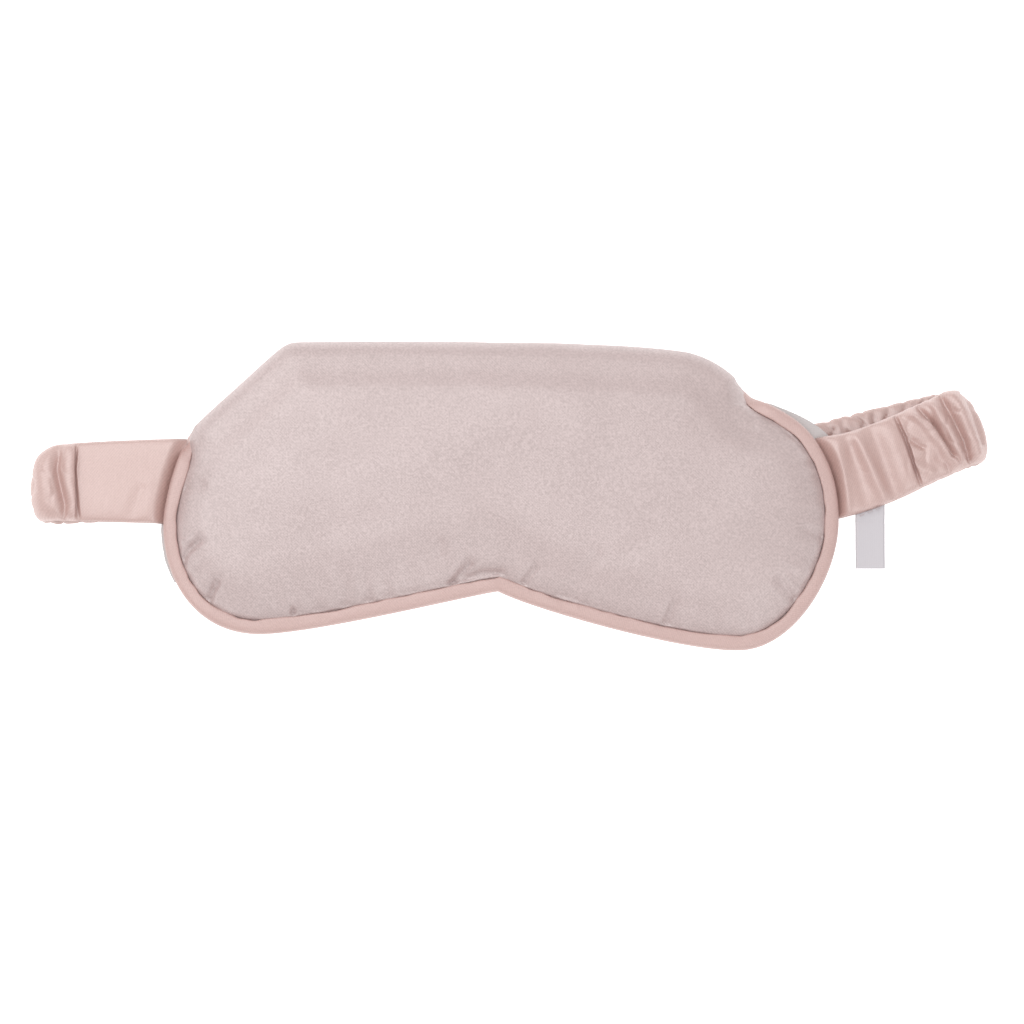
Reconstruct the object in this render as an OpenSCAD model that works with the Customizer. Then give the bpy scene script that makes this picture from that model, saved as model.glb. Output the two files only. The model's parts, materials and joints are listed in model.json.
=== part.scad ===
// Sleep eye mask: a padded satin mask lying face up on its own elastic strap.
// +Z points out of the front face, +X to the wearer's left, +Y to the forehead.
// The strap's back half lies flat on the surface at z = 0, turns over at both
// ends and comes back level with the side seams of the mask.

/* [Mask] */
// Width of the mask across its binding
mask_w = 200; // [190:1:206]
// Height of the top edge above the mask's middle
mask_top = 45; // [42:0.5:48]
// Depth of the two lower lobes below the mask's middle
lobe_depth = 43.4; // [41:0.2:46]
// Depth of the nose notch's top below the mask's middle
notch_depth = 28.2; // [24:0.2:31]
// Where the mask's middle lies along X
mask_x = -2.75; // [-6:0.25:2]
// Angle that the mask lies turned about Z
mask_turn = -1.4; // [-3:0.2:3]
// How far the padded front stands above the binding
front_rise = 6.6; // [4:0.2:9]
// How far the padded rear hangs below the binding
rear_drop = 3.4; // [2:0.2:3.6]

/* [Binding] */
// Width of the binding on the face
binding_w = 4; // [3:0.2:5]
// Thickness of the binding's cloth
binding_wall = 0.45; // [0.3:0.05:0.45]

/* [Strap] */
// Width of the ruched strap
strap_w = 24; // [22:0.5:26]
// Thickness of the ruched strap
strap_t = 3.4; // [3:0.1:3.6]
// Thickness of the casing's gathered wall
casing_wall = 0.6; // [0.4:0.1:0.7]
// Width of the elastic band inside the casing
elastic_w = 20; // [18:0.5:20]
// Thickness of the elastic band
elastic_t = 1.6; // [1.2:0.1:1.8]
// Gap between the strap's lower and upper layers
loop_gap = 4.6; // [4.4:0.1:5]
// Slope of the strap's right-hand turn, seen from above
right_turn_tilt = 18.5; // [10:0.5:24]

/* [Label] */
// Width of the folded label
label_w = 8.6; // [7:0.2:10]
// Where the label's free end lies along Y
label_end_y = -20.8; // [-26:0.2:-16]
// Thickness of each leaf of the label
label_leaf = 0.3; // [0.2:0.05:0.35]

/* [Hidden] */
$fn = 48;

STRAP_NODES = [
    "casing_left_side", "casing_left_turn", "casing_left_back", "casing_centre_back",
    "casing_right_back", "casing_right_turn", "casing_right_side",
    "elastic_left_side", "elastic_left_turn", "elastic_left_back", "elastic_centre_back",
    "elastic_right_back", "elastic_right_turn", "elastic_right_side"
];
MASK_NODES = [
    "front_panel", "front_wadding", "blackout_liner", "rear_foam", "rear_panel",
    "binding", "binding_stitching", "left_strap_stitching", "right_strap_stitching"
];
LABEL_NODES = ["care_label", "label_stitching"];

satin = [0.85, 0.75, 0.74];
satin_dark = [0.80, 0.66, 0.64];
lining = [0.84, 0.82, 0.82];
cloth_white = [0.90, 0.89, 0.88];

// Play between two bodies that meet at a hinge line, half on each side
hinge_play = 0.15;
// Room left round the opened right-hand seam, where no joint holds the strap
open_seam = 1.9;

// Levels of the strap's two layers and of the turns' centres
upper_z = strap_t + loop_gap;
turn_z = strap_t + loop_gap / 2;
turn_r = loop_gap / 2;

// ---------------------------------------------------------------- mask outline
half_w = mask_w / 2;
top_y = mask_top;
lobe_y = -lobe_depth;
notch_y = -notch_depth;
widest_y = -5;
curve_steps = 7;

// Cubic curves down the right-hand half: top, shoulder and side, lobe, brow to notch
half_curves = [
    [[0, top_y], [0.22 * half_w, top_y + 0.3],
     [0.42 * half_w, top_y + 0.3], [0.58 * half_w, top_y - 1.2]],
    [[0.58 * half_w, top_y - 1.2], [0.69 * half_w, top_y - 3.5],
     [0.985 * half_w, 20], [half_w, widest_y]],
    [[half_w, widest_y], [half_w, widest_y - 18],
     [0.88 * half_w, lobe_y], [0.72 * half_w, lobe_y]],
    [[0.72 * half_w, lobe_y], [0.58 * half_w, lobe_y],
     [0.09 * half_w, notch_y - 1.3], [0, notch_y]]
];

function curve_point(c, t) =
    pow(1 - t, 3) * c[0] + 3 * pow(1 - t, 2) * t * c[1]
    + 3 * (1 - t) * t * t * c[2] + t * t * t * c[3];

right_half = concat(
    [for (c = half_curves, i = [0 : curve_steps - 1]) curve_point(c, i / curve_steps)],
    [[0, notch_y]]
);
half_n = len(right_half);

// The whole outline, counterclockwise from the notch up the right-hand side
mask_edge = concat(
    [for (i = [half_n - 1 : -1 : 0]) right_half[i]],
    [for (i = [1 : half_n - 2]) [-right_half[i].x, right_half[i].y]]
);
edge_n = len(mask_edge);

// The outline moved inwards by d, square to the edge
function inset(d) = [
    for (i = [0 : edge_n - 1])
        let (along = mask_edge[(i + 1) % edge_n] - mask_edge[(i + edge_n - 1) % edge_n])
        mask_edge[i] + d * [-along.y, along.x] / norm(along)
];

// ---------------------------------------------------------------- padded layers
// The layers' cut edge sits this far inside the binding
tuck = 1;
// Beyond this inset the layers rise into the dome
flat_rim = binding_w + 1;
dome_centre = [0, 6];
dome_steps = [0.94, 0.84, 0.62, 0.34];
dome_foot = inset(flat_rim);

dome_rings = concat(
    [inset(tuck), dome_foot],
    [for (s = dome_steps) [for (p = dome_foot) dome_centre + s * (p - dome_centre)]]
);
dome_rise = concat([0, 0], [for (s = dome_steps) pow(1 - pow(s, 3), 0.6)]);
ring_n = len(dome_rings);
surface_n = ring_n * edge_n + 1;

// Each boundary between layers: its level at the edge and at the middle
seam_low = upper_z + binding_wall + 0.05;
seam_high = upper_z + strap_t - binding_wall - 0.05;
rear_mid = upper_z - rear_drop;
front_mid = upper_z + strap_t + front_rise;
boundaries = [
    [seam_low, rear_mid],
    [seam_low + 0.4, rear_mid + 0.5],
    [seam_low + 1.0, rear_mid + 4.4],
    [seam_low + 1.4, rear_mid + 4.9],
    [seam_high - 0.4, front_mid - 0.6],
    [seam_high, front_mid]
];
layer_play = 0.04;

function dome_surface(edge_z, mid_z) = concat(
    [for (r = [0 : ring_n - 1]) for (p = dome_rings[r])
        [p.x, p.y, edge_z + (mid_z - edge_z) * dome_rise[r]]],
    [[dome_centre.x, dome_centre.y, mid_z]]
);

// Faces of one dome surface whose points start at first; up says which way it looks
function dome_faces(first, up) = concat(
    [for (r = [0 : ring_n - 2], i = [0 : edge_n - 1])
        let (
            a = first + r * edge_n + i,
            b = first + r * edge_n + (i + 1) % edge_n,
            c = b + edge_n,
            d = a + edge_n
        )
        each up ? [[a, d, c], [a, c, b]] : [[a, c, d], [a, b, c]]],
    [for (i = [0 : edge_n - 1])
        let (
            a = first + (ring_n - 1) * edge_n + i,
            b = first + (ring_n - 1) * edge_n + (i + 1) % edge_n,
            top = first + surface_n - 1
        )
        up ? [a, top, b] : [a, b, top]]
);

function rim_faces() = [
    for (i = [0 : edge_n - 1])
        let (
            low_a = i,
            low_b = (i + 1) % edge_n,
            high_a = surface_n + low_a,
            high_b = surface_n + low_b
        )
        each [[high_a, high_b, low_b], [high_a, low_b, low_a]]
];

// Layer k of the stack, counted from the skin side
module layer(k) {
    low = boundaries[k];
    high = boundaries[k + 1];
    on_mask()
        polyhedron(
            points = concat(
                dome_surface(low[0] + layer_play, low[1] + layer_play),
                dome_surface(high[0] - layer_play, high[1] - layer_play)
            ),
            faces = concat(dome_faces(0, false), dome_faces(surface_n, true), rim_faces())
        );
}

module on_mask() {
    translate([mask_x, 0, 0])
        rotate([0, 0, mask_turn])
            children();
}

// A closed rim that follows the mask's edge; section is a list of [inset, z]
module edge_rim(section) {
    m = len(section);
    insets = [for (s = section) inset(s[0])];
    points = [
        for (i = [0 : edge_n - 1], j = [0 : m - 1])
            [insets[j][i].x, insets[j][i].y, section[j][1]]
    ];
    faces = [
        for (i = [0 : edge_n - 1], j = [0 : m - 1])
            let (
                i2 = (i + 1) % edge_n,
                j2 = (j + 1) % m,
                a = i * m + j,
                b = i2 * m + j,
                c = i2 * m + j2,
                d = i * m + j2
            )
            each [[a, d, c], [a, c, b]]
    ];
    on_mask()
        polyhedron(points = points, faces = faces);
}

module front_panel() { color(satin) layer(4); }
module front_wadding() { color(cloth_white) layer(3); }
module blackout_liner() { color("dimgray") layer(2); }
module rear_foam() { color(cloth_white) layer(1); }
module rear_panel() { color(lining) layer(0); }

// Tape folded round the edge, open inwards
module binding() {
    low = upper_z;
    high = upper_z + strap_t;
    round = 0.6;
    wall = binding_wall;
    color(satin_dark)
        edge_rim([
            [0, high - round], [round, high], [binding_w, high],
            [binding_w, high - wall], [2 * wall, high - wall],
            [2 * wall, low + wall], [binding_w, low + wall],
            [binding_w, low], [round, low], [0, low + round]
        ]);
}

// Seam thread beside the binding, front and rear
module binding_stitching() {
    thread = 0.35;
    near = binding_w + 0.2;
    far = near + thread;
    for (z = [seam_low - 0.05 - thread, seam_high + 0.05])
        color(satin_dark)
            edge_rim([[near, z + thread], [far, z + thread], [far, z], [near, z]]);
}

// Thread bars that hold a strap end in a side seam, on the skin side
module strap_stitching(side) {
    thread_r = 0.25;
    bar = 2.2;
    first_y = -4;
    pitch = 3;
    for (i = [0 : 6])
        translate([mask_x + side * (half_w - bar - 1.2), first_y + i * pitch,
                   upper_z - thread_r - 0.05])
            rotate([0, side * 90, 0])
                color(satin_dark)
                    cylinder(h = bar, r = thread_r, $fn = 24);
}

module left_strap_stitching() { strap_stitching(-1); }
module right_strap_stitching() { strap_stitching(1); }

// ---------------------------------------------------------------- strap
// Plan of the strap: each station is [x, y, tilt of the line across the strap]
left_seam_x = mask_x - half_w - 0.5;
right_seam_x = mask_x + half_w + 0.75;
left_hinge_x = -75;
right_hinge_x = 65.2;
left_turn_x = -136.1;
right_joint_x = 127.5;
right_turn = [131.5, 19.8];

left_side_plan = [
    [left_turn_x + hinge_play, 4.4, 0],
    [left_seam_x, 4.7, 0]
];
left_back_plan = [
    [left_turn_x, 4.4, 0],
    [left_hinge_x - hinge_play, 4.8, 0]
];
centre_back_plan = [
    [left_hinge_x + hinge_play, 4.8, 0],
    [right_hinge_x - hinge_play, 7.7, 0]
];
right_back_plan = [
    [right_hinge_x + hinge_play, 7.7, 0],
    [92, 9.6, 7],
    [right_joint_x - hinge_play, 18.6, 0]
];
right_side_plan = [
    [right_seam_x + open_seam, 6.4, 0],
    [right_joint_x - hinge_play, 18.2, 0]
];

// Points across a station, at distance half either side of its middle
function across(s, half) = [s.x - half * sin(s[2]), s.y + half * cos(s[2])];

module strap_slab(plan, w, t, z) {
    n = len(plan);
    translate([0, 0, z])
        linear_extrude(height = t)
            polygon(concat(
                [for (s = plan) across(s, -w / 2)],
                [for (i = [n - 1 : -1 : 0]) across(plan[i], w / 2)]
            ));
}

// The plan with its first and last stations moved outwards by d, to cut an open end
function run_out(plan, d) =
    let (last = len(plan) - 1)
    [for (i = [0 : last])
        i == 0 ? [plan[i].x - d, plan[i].y, plan[i][2]]
        : i == last ? [plan[i].x + d, plan[i].y, plan[i][2]]
        : plan[i]];

// A flat length of the satin tube, open at both ends
module casing(plan, z) {
    color(satin)
        difference() {
            strap_slab(plan, strap_w, strap_t, z);
            strap_slab(run_out(plan, 1), strap_w - 2 * casing_wall,
                       strap_t - 2 * casing_wall, z + casing_wall);
        }
}

// A flat length of the elastic inside the tube
module elastic(plan, z) {
    color(cloth_white)
        strap_slab(plan, elastic_w, elastic_t, z + (strap_t - elastic_t) / 2);
}

// Section of a band's turn between radii r1 and r2, with straight legs towards -X
module turn_section(r1, r2, leg) {
    difference() {
        union() {
            intersection() {
                circle(r = r2);
                translate([0, -r2])
                    square([r2, 2 * r2]);
            }
            if (leg > 0)
                translate([-leg, -r2])
                    square([leg, 2 * r2]);
        }
        circle(r = r1);
        translate([-leg - 1, -r1])
            square([leg + 1, 2 * r1]);
    }
}

// A turned band of width w, seen from above as a strip that lies at the angle tilt
module band_turn(centre, tilt, w, r1, r2, leg) {
    translate([centre.x, centre.y, turn_z])
        rotate([0, 0, tilt])
            rotate([90, 0, 0])
                linear_extrude(height = w, center = true)
                    turn_section(r1, r2, leg);
}

module casing_turn(centre, tilt, leg) {
    outer = turn_r + strap_t;
    difference() {
        band_turn(centre, tilt, strap_w, turn_r, outer, leg);
        band_turn(centre, tilt, strap_w - 2 * casing_wall,
                  turn_r + casing_wall, outer - casing_wall, leg + 1);
    }
}

module elastic_turn(centre, tilt, leg) {
    middle = turn_r + strap_t / 2;
    band_turn(centre, tilt, elastic_w, middle - elastic_t / 2, middle + elastic_t / 2, leg);
}

// What lies outwards of the right-hand hinge line
module past_right_joint() {
    reach = 40;
    difference() {
        children();
        translate([right_joint_x + hinge_play - reach, -reach, -1])
            cube([reach, 3 * reach, reach]);
    }
}

left_turn = [left_turn_x, 4.4];
right_leg = 14;

module casing_left_side() { casing(left_side_plan, upper_z); }
module casing_left_turn() { color(satin) casing_turn(left_turn, 180, 0); }
module casing_left_back() { casing(left_back_plan, 0); }
module casing_centre_back() { casing(centre_back_plan, 0); }
module casing_right_back() { casing(right_back_plan, 0); }
module casing_right_turn() {
    color(satin)
        past_right_joint()
            casing_turn(right_turn, right_turn_tilt, right_leg);
}
module casing_right_side() { casing(right_side_plan, upper_z); }

module elastic_left_side() { elastic(left_side_plan, upper_z); }
module elastic_left_turn() { color(cloth_white) elastic_turn(left_turn, 180, 0); }
module elastic_left_back() { elastic(left_back_plan, 0); }
module elastic_centre_back() { elastic(centre_back_plan, 0); }
module elastic_right_back() { elastic(right_back_plan, 0); }
module elastic_right_turn() {
    color(cloth_white)
        past_right_joint()
            elastic_turn(right_turn, right_turn_tilt, right_leg);
}
module elastic_right_side() { elastic(right_side_plan, upper_z); }

// ---------------------------------------------------------------- label
label_x = 102.8;
label_gap = 0.4;
label_mid_z = upper_z + strap_t / 2;
leaf_gap = 0.2;

// Lower edge of the strap's right-hand side, which the label is sewn along
strap_low_a = across(right_side_plan[0], -strap_w / 2);
strap_low_b = across(right_side_plan[1], -strap_w / 2);
strap_slope = (strap_low_b.y - strap_low_a.y) / (strap_low_b.x - strap_low_a.x);
function strap_low_y(x) = strap_low_a.y + strap_slope * (x - strap_low_a.x);

// White ribbon folded double at its free end
module care_label() {
    top_left = strap_low_y(label_x) - label_gap;
    top_right = strap_low_y(label_x + label_w) - label_gap;
    fold_r = label_leaf + leaf_gap / 2;
    long = top_right - label_end_y;
    color(cloth_white)
        intersection() {
            linear_extrude(height = 40)
                polygon([[label_x, label_end_y], [label_x + label_w, label_end_y],
                         [label_x + label_w, top_right], [label_x, top_left]]);
            translate([label_x, label_end_y + fold_r, label_mid_z])
                rotate([90, 0, 90])
                    linear_extrude(height = label_w)
                        label_profile(long, fold_r);
        }
}

// Side view of the folded ribbon, with the fold at the left
module label_profile(long, fold_r) {
    difference() {
        circle(r = fold_r, $fn = 32);
        circle(r = leaf_gap / 2, $fn = 32);
        translate([0, -fold_r])
            square([2 * fold_r, 2 * fold_r]);
    }
    for (side = [-1, 1])
        translate([0, side > 0 ? leaf_gap / 2 : -fold_r])
            square([long, label_leaf]);
}

// Three thread bars across the label's sewn end
module label_stitching() {
    thread_r = 0.2;
    bar = 1.6;
    slope_angle = atan(strap_slope);
    for (i = [0 : 2])
        let (x = label_x + 1 + i * 2.4)
        translate([x, strap_low_y(x) - label_gap - 1.5,
                   label_mid_z + leaf_gap / 2 + label_leaf + thread_r + 0.03])
            rotate([0, 90, slope_angle])
                color(satin_dark)
                    cylinder(h = bar, r = thread_r, $fn = 24);
}

front_panel();
front_wadding();
blackout_liner();
rear_foam();
rear_panel();
binding();
binding_stitching();
left_strap_stitching();
right_strap_stitching();
casing_left_side();
casing_left_turn();
casing_left_back();
casing_centre_back();
casing_right_back();
casing_right_turn();
casing_right_side();
elastic_left_side();
elastic_left_turn();
elastic_left_back();
elastic_centre_back();
elastic_right_back();
elastic_right_turn();
elastic_right_side();
care_label();
label_stitching();
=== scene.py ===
# Sleep eye mask: the looks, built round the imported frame. Shape lengths are in millimetres.
import json
import math

import bpy
import numpy as np
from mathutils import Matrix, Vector
from mathutils.geometry import delaunay_2d_cdt


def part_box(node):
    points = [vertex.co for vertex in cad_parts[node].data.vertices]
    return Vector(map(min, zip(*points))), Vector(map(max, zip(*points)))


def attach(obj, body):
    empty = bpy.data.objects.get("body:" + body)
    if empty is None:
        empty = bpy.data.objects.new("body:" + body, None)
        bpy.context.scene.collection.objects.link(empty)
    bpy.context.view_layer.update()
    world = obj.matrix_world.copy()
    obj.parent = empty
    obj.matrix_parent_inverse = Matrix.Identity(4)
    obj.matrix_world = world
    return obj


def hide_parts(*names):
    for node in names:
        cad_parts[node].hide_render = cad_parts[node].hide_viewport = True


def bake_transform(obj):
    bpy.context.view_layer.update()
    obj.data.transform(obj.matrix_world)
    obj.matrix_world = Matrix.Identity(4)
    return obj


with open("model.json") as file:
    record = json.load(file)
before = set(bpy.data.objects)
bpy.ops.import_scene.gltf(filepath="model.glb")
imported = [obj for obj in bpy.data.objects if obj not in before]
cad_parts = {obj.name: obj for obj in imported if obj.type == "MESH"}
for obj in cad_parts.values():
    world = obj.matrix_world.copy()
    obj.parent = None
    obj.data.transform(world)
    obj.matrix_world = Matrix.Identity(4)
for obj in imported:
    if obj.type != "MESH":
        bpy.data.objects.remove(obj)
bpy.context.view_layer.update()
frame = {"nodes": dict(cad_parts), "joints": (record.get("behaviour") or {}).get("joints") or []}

MM = 0.001

# ---- places taken from the frame


def box_mm(node):
    """Lowest and highest corner of a CAD node, in millimetres."""
    low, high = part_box(node)
    return np.array(low) / MM, np.array(high) / MM


def joint_mm(name):
    """A joint's axis point, in millimetres."""
    found = next(j for j in frame["joints"] if j["name"] == name)
    return np.array(found["pos_m"]) / MM


BINDING_LOW, BINDING_HIGH = box_mm("binding")
MASK_X = (BINDING_LOW[0] + BINDING_HIGH[0]) / 2
HALF_W = (BINDING_HIGH[0] - BINDING_LOW[0]) / 2
FRONT_TOP = box_mm("front_panel")[1][2]
REAR_BOTTOM = box_mm("rear_panel")[0][2]
LEFT_TURN = joint_mm("left_turn_fold")
LEFT_SEAM = joint_mm("mask_lift")
LEFT_BEND = joint_mm("left_back_bend")
RIGHT_BEND = joint_mm("right_back_bend")
TURN_Z = LEFT_TURN[2]
STRAP_T = box_mm("casing_centre_back")[1][2]
UPPER_Z = box_mm("casing_left_side")[0][2]
STRAP_MID = STRAP_T / 2
TURN_R = TURN_Z - STRAP_MID
MASK_TURN = math.radians(-1.4)

# ---- small helpers


class SmoothNoise:
    """Seeded value noise in two dimensions, from -1 to 1."""

    SIZE = 64

    def __init__(self, seed):
        self.grid = np.random.default_rng(seed).uniform(-1, 1, (self.SIZE, self.SIZE))

    def __call__(self, x, y):
        x, y = np.broadcast_arrays(np.asarray(x, float), np.asarray(y, float))
        i, j = np.floor(x).astype(int), np.floor(y).astype(int)
        fx, fy = smooth(x - i), smooth(y - j)
        g, n = self.grid, self.SIZE
        low = g[i % n, j % n] * (1 - fx) + g[(i + 1) % n, j % n] * fx
        high = g[i % n, (j + 1) % n] * (1 - fx) + g[(i + 1) % n, (j + 1) % n] * fx
        return low * (1 - fy) + high * fy


def smooth(t):
    """Smoothstep of t, held between 0 and 1."""
    t = np.clip(t, 0, 1)
    return t * t * (3 - 2 * t)


def ramp(x, start, end):
    """0 before start, 1 after end, smooth in between."""
    return smooth((np.asarray(x, float) - start) / (end - start))


def bezier(curve, t):
    """Points on a cubic curve at the parameters t."""
    a, b, c, d = (np.array(p, float) for p in curve)
    t = t[:, None]
    return a * (1 - t) ** 3 + 3 * b * (1 - t) ** 2 * t + 3 * c * (1 - t) * t**2 + d * t**3


def through(x, knots_x, knots_y):
    """A smooth curve through knots, read at x."""
    kx, ky = np.array(knots_x, float), np.array(knots_y, float)
    slope = np.gradient(ky, kx)
    i = np.clip(np.searchsorted(kx, x) - 1, 0, len(kx) - 2)
    width = kx[i + 1] - kx[i]
    t = (x - kx[i]) / width
    return (
        ky[i] * (1 + 2 * t) * (1 - t) ** 2
        + slope[i] * width * t * (1 - t) ** 2
        + ky[i + 1] * t * t * (3 - 2 * t)
        + slope[i + 1] * width * t * t * (t - 1)
    )


def running_length(points):
    """Length of a line of points from its start to each of them."""
    return np.concatenate([[0], np.cumsum(np.linalg.norm(np.diff(points, axis=0), axis=1))])


def even_points(points, step):
    """A closed line of points, spaced evenly."""
    closed = np.vstack([points, points[:1]])
    length = running_length(closed)
    count = int(round(length[-1] / step))
    at = np.linspace(0, length[-1], count, endpoint=False)
    return np.column_stack([np.interp(at, length, closed[:, k]) for k in range(2)])


def distance_to_line(x, y, line):
    """Distance from points to an open line of points."""
    best = np.full(np.shape(x), 1e9)
    for (ax, ay), (bx, by) in zip(line[:-1], line[1:]):
        dx, dy = bx - ax, by - ay
        t = np.clip(((x - ax) * dx + (y - ay) * dy) / (dx * dx + dy * dy), 0, 1)
        best = np.minimum(best, np.hypot(x - ax - t * dx, y - ay - t * dy))
    return best


def bumps(lines, x, y):
    """Sum of soft bumps along lines, each with its height and its half width."""
    total = np.zeros(np.shape(x))
    for line, height, half in lines:
        total += height * np.exp(-((distance_to_line(x, y, line) / half) ** 2))
    return total


def tube_faces(rows_n, ring_n, closed=False):
    """Faces of a tube made of rings of points. A closed tube joins its last ring to its first."""
    faces = []
    for i in range(rows_n if closed else rows_n - 1):
        k = (i + 1) % rows_n
        for j in range(ring_n):
            n = (j + 1) % ring_n
            faces.append((i * ring_n + j, i * ring_n + n, k * ring_n + n, k * ring_n + j))
    return faces


def strip_grid(along, around):
    """Places on a strip of cloth: along it for each row, and round it for each point of a row."""
    return np.stack(np.broadcast_arrays(along[:, None], around[None, :]), axis=2)


def add_object(name, data):
    """A new object in the scene."""
    obj = bpy.data.objects.new(name, data)
    bpy.context.scene.collection.objects.link(obj)
    return obj


def make_mesh(name, points_mm, faces, material, uv=None, normals=None):
    """A smooth-shaded mesh object from points in millimetres."""
    mesh = bpy.data.meshes.new(name)
    mesh.from_pydata((points_mm.reshape(-1, 3) * MM).tolist(), [], [tuple(f) for f in faces])
    mesh.validate()
    mesh.update()
    if uv is not None:
        layer = mesh.uv_layers.new(name="strip")
        corner = np.zeros(len(mesh.loops), int)
        mesh.loops.foreach_get("vertex_index", corner)
        layer.data.foreach_set("uv", (uv.reshape(-1, 2)[corner] * MM).ravel())
    mesh.polygons.foreach_set("use_smooth", np.ones(len(mesh.polygons), bool))
    if normals is not None:
        mesh.normals_split_custom_set_from_vertices(normals)
    mesh.materials.append(material)
    return add_object(name, mesh)


def read_points(mesh):
    """A mesh's points, in millimetres."""
    points = np.zeros(len(mesh.vertices) * 3)
    mesh.vertices.foreach_get("co", points)
    return points.reshape(-1, 3) / MM


def write_points(mesh, points_mm):
    mesh.vertices.foreach_set("co", (points_mm * MM).ravel())
    mesh.update()


def apply_modifiers(obj):
    """Keeps the mesh as its modifiers leave it."""
    graph = bpy.context.evaluated_depsgraph_get()
    shown = bpy.data.meshes.new_from_object(obj.evaluated_get(graph))
    obj.modifiers.clear()
    obj.data = shown


def subdivide(obj):
    obj.modifiers.new("subdivide", "SUBSURF").levels = 1
    apply_modifiers(obj)


# ---- materials


class Nodes:
    """Short calls for building one material's nodes."""

    def __init__(self, name):
        self.material = bpy.data.materials.new(name)
        self.material.use_nodes = True
        self.tree = self.material.node_tree
        self.shader = self.tree.nodes["Principled BSDF"]

    def add(self, kind, **settings):
        node = self.tree.nodes.new(kind)
        for key, value in settings.items():
            setattr(node, key, value)
        return node

    def link(self, source, target):
        self.tree.links.new(source, target)

    def math(self, operation, a, b=None):
        node = self.add("ShaderNodeMath", operation=operation)
        for socket, value in zip(node.inputs, (a, b)):
            if value is None:
                continue
            if isinstance(value, (int, float)):
                socket.default_value = value
            else:
                self.link(value, socket)
        return node.outputs[0]

    def noise(self, place, scale, detail):
        node = self.add("ShaderNodeTexNoise")
        node.inputs["Scale"].default_value = scale
        node.inputs["Detail"].default_value = detail
        self.link(place, node.inputs["Vector"])
        return node.outputs["Fac"]

    def stretch(self, value, low, high):
        """value taken from 0..1 to low..high, held at both ends."""
        node = self.add("ShaderNodeMapRange")
        self.link(value, node.inputs["Value"])
        node.inputs["To Min"].default_value = low
        node.inputs["To Max"].default_value = high
        return node.outputs["Result"]

    def mix(self, share, a, b):
        node = self.add("ShaderNodeMix", data_type="RGBA")
        self.link(share, node.inputs["Factor"])
        for socket, value in ((node.inputs["A"], a), (node.inputs["B"], b)):
            if isinstance(value, tuple):
                socket.default_value = (*value, 1)
            else:
                self.link(value, socket)
        return node.outputs["Result"]

    def set(self, **values):
        names = {"rough": "Roughness", "sheen": "Sheen Weight", "gloss": "Specular IOR Level",
                 "ior": "IOR"}
        for key, value in values.items():
            self.shader.inputs[names[key]].default_value = value


def rows(nodes, place, angle, period):
    """A wave from -1 to 1 across lines that run at angle, one line each period."""
    part = nodes.add("ShaderNodeSeparateXYZ")
    nodes.link(place, part.inputs[0])
    turn = 2 * math.pi / (period * MM)
    a = nodes.math("MULTIPLY", part.outputs["X"], -math.sin(angle) * turn)
    b = nodes.math("MULTIPLY", part.outputs["Y"], math.cos(angle) * turn)
    return nodes.math("SINE", nodes.math("ADD", a, b))


def cloth_material(name, light, dark, place="Object", period=0.8, angle=-45, cross=0.5,
                   contrast=0.5, ribs=1.0, grain=1.2, bump=0.12, mottle=0.25, **shader):
    """Woven cloth: twill lines, a weaker cross thread, uneven yarn and a cloudy tone."""
    n = Nodes(name)
    coords = n.add("ShaderNodeTexCoord").outputs[place]
    twill = rows(n, coords, math.radians(angle), period)
    weft = rows(n, coords, math.radians(angle + 90), period * 0.92)
    yarn = n.noise(coords, 1.1 / (period * MM), 2)
    cloud = n.noise(coords, 55, 4)
    patch = n.noise(coords, 320, 2)
    lines = n.math("ADD", twill, n.math("MULTIPLY", weft, cross))
    lines = n.math("MULTIPLY", lines, n.stretch(patch, 0.35 * ribs, 1.25 * ribs))
    uneven = n.math("ADD", lines, n.math("MULTIPLY", n.math("SUBTRACT", yarn, 0.5), grain))
    tone = n.math("ADD", n.math("MULTIPLY", uneven, 0.25 * contrast), 0.5)
    tone = n.math("ADD", tone, n.math("MULTIPLY", n.math("SUBTRACT", cloud, 0.5), mottle * 2))
    n.link(n.mix(tone, dark, light), n.shader.inputs["Base Color"])
    rough = shader.pop("rough", 0.45)
    n.link(n.stretch(n.math("ADD", n.math("MULTIPLY", uneven, 0.2), cloud), rough + 0.07, rough - 0.07),
           n.shader.inputs["Roughness"])
    bumper = n.add("ShaderNodeBump")
    bumper.inputs["Strength"].default_value = bump
    bumper.inputs["Distance"].default_value = 0.15 * MM
    n.link(uneven, bumper.inputs["Height"])
    n.link(bumper.outputs["Normal"], n.shader.inputs["Normal"])
    n.set(**shader)
    return n.material


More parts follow.
